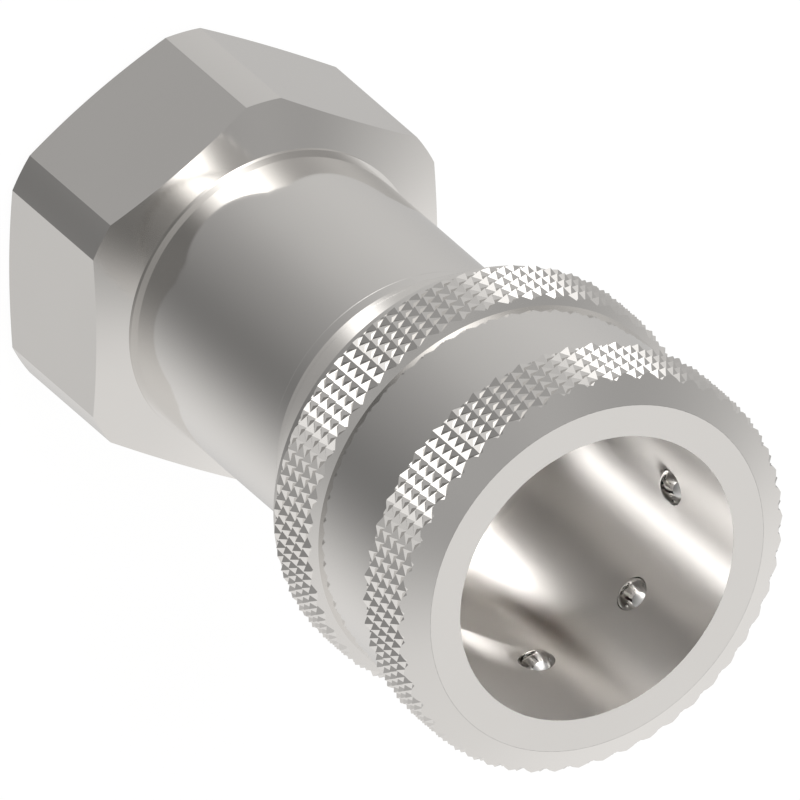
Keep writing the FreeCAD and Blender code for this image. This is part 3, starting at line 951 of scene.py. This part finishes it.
@dataclass
class Knurl:
    """Diamond grip of a band: rows of small pyramids, neighbouring rows half a pitch apart."""

    tip: float = 16.95 * MM
    valley: float = 16.36 * MM
    rows: int = 100
    pitch: float = 1.033 * MM
    first_angle: float = math.radians(0.27)

    def tree(self) -> bpy.types.GeometryNodeTree:
        """Geometry nodes that set one pyramid on each point of the pattern.

        Returns:
            The node tree, with inputs for the pyramid, the pattern and the material.
        """
        board, value = open_group("knurl_rows", {
            "Rows Around": "Int", "Rows Up": "Int", "Half Pitch": "Float", "First Angle": "Float",
            "First Height": "Float", "Pyramid": "Object", "Material": "Material"})
        tree = board.tree
        count = value["Rows Around"] * value["Rows Up"]
        spots = board.node("GeometryNodePoints", Count=count)
        number = board.signal("GeometryNodeInputIndex", 0)
        up = number.math("FLOOR", number / value["Rows Around"])
        around = number - up * value["Rows Around"]
        odd = number.math("MODULO", around + up, 2)
        turn = around * TURN / value["Rows Around"] + value["First Angle"]
        keep = board.node("GeometryNodeCaptureAttribute")
        keep.capture_items.new("FLOAT", "Turn")
        keep.capture_items.new("FLOAT", "Height")
        tree.links.new(spots.outputs[0], keep.inputs["Geometry"])
        tree.links.new(turn.socket, keep.inputs["Turn"])
        tree.links.new((up * value["Half Pitch"] + value["First Height"]).socket, keep.inputs["Height"])
        chosen = board.node("GeometryNodeDeleteGeometry", {"domain": "POINT"},
                            Geometry=keep.outputs["Geometry"], Selection=odd)
        height = board.vector(0.0, 0.0, Signal(tree, keep.outputs["Height"]))
        placed = board.node("GeometryNodeSetPosition", Geometry=chosen.outputs[0], Position=height)
        shape = board.node("GeometryNodeObjectInfo", {"transform_space": "ORIGINAL"}, Object=value["Pyramid"])
        spin = board.vector(0.0, 0.0, Signal(tree, keep.outputs["Turn"]))
        copies = board.node("GeometryNodeInstanceOnPoints", Points=placed.outputs[0],
                            Instance=shape.outputs["Geometry"], Rotation=spin)
        return close_group(board, copies.outputs[0], value["Material"])

    def pyramid(self) -> bpy.types.Object:
        """One pyramid at angle 0 and height 0, without a base.

        Returns:
            The pattern's cell, to be copied.
        """
        step = TURN / self.rows
        half = self.pitch / 2
        foot = ((-step, 0), (0, -half), (step, 0), (0, half))
        points = [wheel(self.tip, 0, 0)] + [wheel(self.valley, angle, z) for angle, z in foot]
        mesh = bpy.data.meshes.new("knurl_pyramid")
        mesh.from_pydata(points, [], [(0, 1, 2), (0, 2, 3), (0, 3, 4), (0, 4, 1)])
        return link("knurl_pyramid", mesh)

    def grow(self, anchor: float, low: float, high: float,
             material: bpy.types.Material) -> list[list[Vector]]:
        """Covers a stretch of the axis with pyramids.

        Args:
            anchor: height of one pyramid's tip on the first row.
            low: lowest height to cover.
            high: highest height to cover.
            material: finish for the tree's Set Material.

        Returns:
            The triangles as corner points.
        """
        half = self.pitch / 2
        below = math.ceil((anchor - low) / self.pitch) + 1
        start = anchor - below * self.pitch
        rows_up = math.ceil((high - start) / half) + 2
        cell = self.pyramid()
        carrier = run_group("knurl", self.tree(), {
            "Rows Around": self.rows, "Rows Up": rows_up, "Half Pitch": half, "First Angle": self.first_angle,
            "First Height": start, "Pyramid": cell, "Material": material})
        mesh = carrier.data
        triangles = [[mesh.vertices[v].co.copy() for v in polygon.vertices] for polygon in mesh.polygons]
        for obj in (carrier, cell):
            bpy.data.objects.remove(obj)
        bpy.data.meshes.remove(mesh)
        return triangles


@dataclass
class Cone:
    """A cone or flat face about the axis that ends a band of pyramids."""

    height: float
    radius: float
    slope: float
    upper: bool

    def depth(self, point: Vector) -> float:
        """How far a point lies inside, along the axis; negative outside."""
        radius = math.hypot(point.x, point.y)
        edge = self.height + (radius - self.radius) * self.slope
        return edge - point.z if self.upper else point.z - edge


def clip(polygon: list[Vector], cone: Cone, halvings: int = 30) -> list[Vector]:
    """Cuts a polygon off where it leaves a cone.

    Args:
        polygon: the corners in order.
        cone: the cone whose inside is kept.
        halvings: how often a cut edge is halved to find where it crosses the cone.

    Returns:
        The corners that are left.
    """
    kept = []
    depths = [cone.depth(point) for point in polygon]
    for index, point in enumerate(polygon):
        after = (index + 1) % len(polygon)
        if depths[index] >= 0:
            kept.append(point)
        if (depths[index] >= 0) != (depths[after] >= 0):
            start, end = (point, polygon[after]) if depths[index] < 0 else (polygon[after], point)
            low, high = 0.0, 1.0
            for _ in range(halvings):
                middle = (low + high) / 2
                if cone.depth(start.lerp(end, middle)) < 0:
                    low = middle
                else:
                    high = middle
            kept.append(start.lerp(end, high))
    return kept


@dataclass
class Sleeve:
    """Pull-back sleeve: two knurled bands with a plain waist, and the lock's surfaces inside."""

    face: float = 14.56 * MM
    band: float = 16.9525 * MM
    waist: float = 15.9025 * MM
    mouth: float = 63.5 * MM
    slope: float = 0.47
    front_end: float = 57.41 * MM
    rear_start: float = 48.38 * MM
    seam: float = 43.81 * MM
    inside: tuple[Point, ...] = metres(
        (15.7025, 43.81), (15.7025, 46.46), (15.1025, 46.46), (15.1025, 52.4), (14.4425, 52.4),
        (14.4425, 55.38), (15.3425, 56.88), (15.3425, 60.45), (13.95, 60.75), (13.95, 61.45),
        (14.56, 61.45), (14.56, 63.5))
    collar_slope: float = 0.8
    collar: tuple[Point, ...] = metres(
        (16.3, 43.81), (15.6725, 43.81), (15.6725, 46.41), (15.1025, 46.41), (15.1025, 42.124),
        (12.25, 37.544), (12.25, 36.5), (12.4, 36.5), (16.3, 42.762), (16.3, 43.288))
    front_anchor: float = 57.37 * MM
    rear_anchor: float = 44.07 * MM
    anchor_row: int = 9
    columns: int = 288
    reach_past: float = 1.2 * MM
    on_edge: float = 2e-8
    knurl: Knurl = field(default_factory=Knurl)

    def build(self, material: bpy.types.Material) -> bpy.types.Object:
        """Makes the whole sleeve as one closed piece.

        Args:
            material: its finish.

        Returns:
            The sleeve.
        """
        shell = Shell()
        front_cone = Cone(self.mouth, self.face, -self.slope, True)
        front_shoulder = Cone(self.front_end, self.band, self.slope, False)
        rear_shoulder = Cone(self.rear_start, self.band, -self.slope, True)
        rear_face = Cone(self.seam, self.band, 0.0, False)
        front = self.cover(shell, self.front_anchor, front_shoulder, front_cone, material)
        rear = self.cover(shell, self.rear_anchor, rear_face, rear_shoulder, material)
        angles = even_angles(self.columns)
        inner_top, inner_bottom = shell.add_turned(self.inside[::-1], angles)
        drop = (self.band - self.waist) * self.slope
        waist = [(self.waist, self.rear_start + drop), (self.waist, self.front_end - drop)]
        waist_low, waist_high = shell.add_turned(waist, angles)
        shell.stitch(front[1], inner_top, self.slope, 1.0)
        shell.stitch(waist_high, front[0], self.slope, -1.0)
        shell.stitch(rear[1], waist_low, self.slope, 1.0)
        shell.stitch(inner_bottom, rear[0], 0.0, -1.0)
        return shell.finish("knurled_sleeve", material)

    def build_collar(self, material: bpy.types.Material) -> bpy.types.Object:
        """Makes the rear collar, whose cone cuts the last diamonds of the rear band off.

        Args:
            material: its finish.

        Returns:
            The collar.
        """
        shell = Shell()
        cone = Cone(self.seam, self.band, self.collar_slope, False)
        joint = Cone(self.seam, self.band, 0.0, True)
        edge, rim = self.cover(shell, self.rear_anchor, cone, joint, material)
        top, foot = shell.add_turned(self.collar, even_angles(self.columns))
        shell.stitch(rim, top, 0.0, 1.0)
        shell.stitch(foot, edge, self.collar_slope, -1.0)
        return shell.finish("tapered_collar", material)

    def cover(self, shell: Shell, anchor: float, low: Cone, high: Cone,
              material: bpy.types.Material) -> tuple[list[int], list[int]]:
        """Adds a knurled band between two cones.

        Args:
            shell: the mesh that is gathered.
            anchor: height of one tip on the first row of pyramids.
            low: the cone that ends the band below.
            high: the cone that ends it above.
            material: finish for the pyramids.

        Returns:
            The vertices of the lower and the upper edge, in order of angle.
        """
        known: dict[tuple[int, ...], int] = {}
        lower: dict[int, float] = {}
        upper: dict[int, float] = {}
        start, end = low.height - self.reach_past, high.height + self.reach_past
        shift = self.knurl.pitch / 2 * (self.anchor_row % 2)
        for triangle in self.knurl.grow(anchor + shift, start, end, material):
            polygon = clip(clip(triangle, low), high)
            if len(polygon) < 3:
                continue
            corners = []
            for point in polygon:
                number = shell.weld_point(point, known)
                if not corners or corners[-1] != number:
                    corners.append(number)
                angle = math.atan2(point.y, point.x) % TURN
                if abs(low.depth(point)) < self.on_edge:
                    lower[number] = angle
                if abs(high.depth(point)) < self.on_edge:
                    upper[number] = angle
            if corners[0] == corners[-1]:
                corners.pop()
            shell.add_face(corners)
        return sorted(lower, key=lower.get), sorted(upper, key=upper.get)


# ---- springs

@dataclass
class Spring:
    """Compression spring of round wire with plain ends."""

    name: str
    mean_radius: float
    wire: float
    bottom: float
    top: float
    turns: float
    steps_per_turn: int = 96
    sides: int = 24

    def tree(self) -> bpy.types.GeometryNodeTree:
        """Geometry nodes that sweep a round wire along a helix.

        Returns:
            The node tree, with inputs for the spring's sizes and its material.
        """
        board, value = open_group("coil", {
            "Steps": "Int", "Turns": "Float", "Mean Radius": "Float", "Rise": "Float", "Bottom": "Float",
            "Wire Radius": "Float", "Sides": "Int", "Material": "Material"})
        helix = board.node("GeometryNodeCurveSpiral", Resolution=value["Steps"],
                           Rotations=value["Turns"], Start_Radius=value["Mean Radius"],
                           End_Radius=value["Mean Radius"], Height=value["Rise"])
        ring = board.node("GeometryNodeCurvePrimitiveCircle", Resolution=value["Sides"],
                          Radius=value["Wire Radius"])
        swept = board.node("GeometryNodeCurveToMesh", Curve=helix.outputs[0],
                           Profile_Curve=ring.outputs[0], Fill_Caps=True)
        lift = board.vector(0.0, 0.0, value["Bottom"])
        moved = board.node("GeometryNodeTransform", Geometry=swept.outputs[0], Translation=lift)
        return close_group(board, moved.outputs[0], value["Material"])

    def build(self, material: bpy.types.Material) -> bpy.types.Object:
        """Makes the spring.

        Args:
            material: its finish.

        Returns:
            The spring as a plain mesh.
        """
        carrier = run_group(self.name, self.tree(), {
            "Steps": int(self.steps_per_turn * self.turns), "Turns": self.turns,
            "Mean Radius": self.mean_radius, "Rise": self.top - self.bottom - self.wire,
            "Bottom": self.bottom + self.wire / 2, "Wire Radius": self.wire / 2, "Sides": self.sides,
            "Material": material})
        mesh = carrier.data
        mesh.polygons.foreach_set("use_smooth", [True] * len(mesh.polygons))
        log.info("%s: %d faces", self.name, len(mesh.polygons))
        return carrier


# ---- the whole

def dress(nodes: dict, names: Sequence[str], material: bpy.types.Material) -> None:
    """Gives CAD nodes a finish.

    Args:
        nodes: the frame's nodes.
        names: which of them.
        material: the finish.
    """
    for name in names:
        for slot in nodes[name].material_slots:
            slot.material = material
        log.info("%s: %s", name, material.name)


def main() -> None:
    """Builds the coupler's looks in order and reports each piece."""
    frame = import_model()
    bpy.context.scene.view_settings.view_transform = "Standard"
    studio = Studio()
    studio.light()
    studio.floor()
    studio.camera()
    nodes = frame["nodes"]
    studio.light_bore([nodes["socket_body"]])
    steel = BODY.build()
    port = PORT.build()
    sleeve_steel = SLEEVE.build()
    dress(nodes, ["socket_body"], steel)
    rear = PortBody().build(port)
    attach(rear, "coupler_body")
    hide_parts("port_body")
    dress(nodes, ["ball_%d" % number for number in range(1, 9)], BALL.build())
    dress(nodes, ["spring_seat_washer", "valve_guide", "valve_poppet", "poppet_nose"], VALVE.build())
    wire = SPRING.build()
    dress(nodes, ["seat_snap_ring"], wire)
    dress(nodes, ["nipple_seal_ring", "poppet_seal"], RUBBER.build())
    dress(nodes, ["nipple_backup_ring"], BACKUP.build())
    dress(nodes, ["body_seal_ring"], BODY_SEAL.build())
    collar = Sleeve().build_collar(sleeve_steel)
    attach(collar, "locking_sleeve")
    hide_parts("sleeve_rear_collar")
    sleeve = Sleeve().build(sleeve_steel)
    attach(sleeve, "locking_sleeve")
    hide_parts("sleeve")
    turning = Spring("sleeve_coil", 14.28 * MM, 1.2 * MM, 43.3 * MM, 52.4 * MM, 2.5).build(wire)
    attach(turning, "turning_spring")
    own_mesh(turning)
    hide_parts("sleeve_spring")
    closing = Spring("valve_coil", 6.5 * MM, 1.0 * MM, 17.0 * MM, 26.5 * MM, 3.5).build(wire)
    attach(closing, "coupler_body")
    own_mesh(closing)
    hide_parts("valve_spring")


if __name__ == "__main__":
    main()
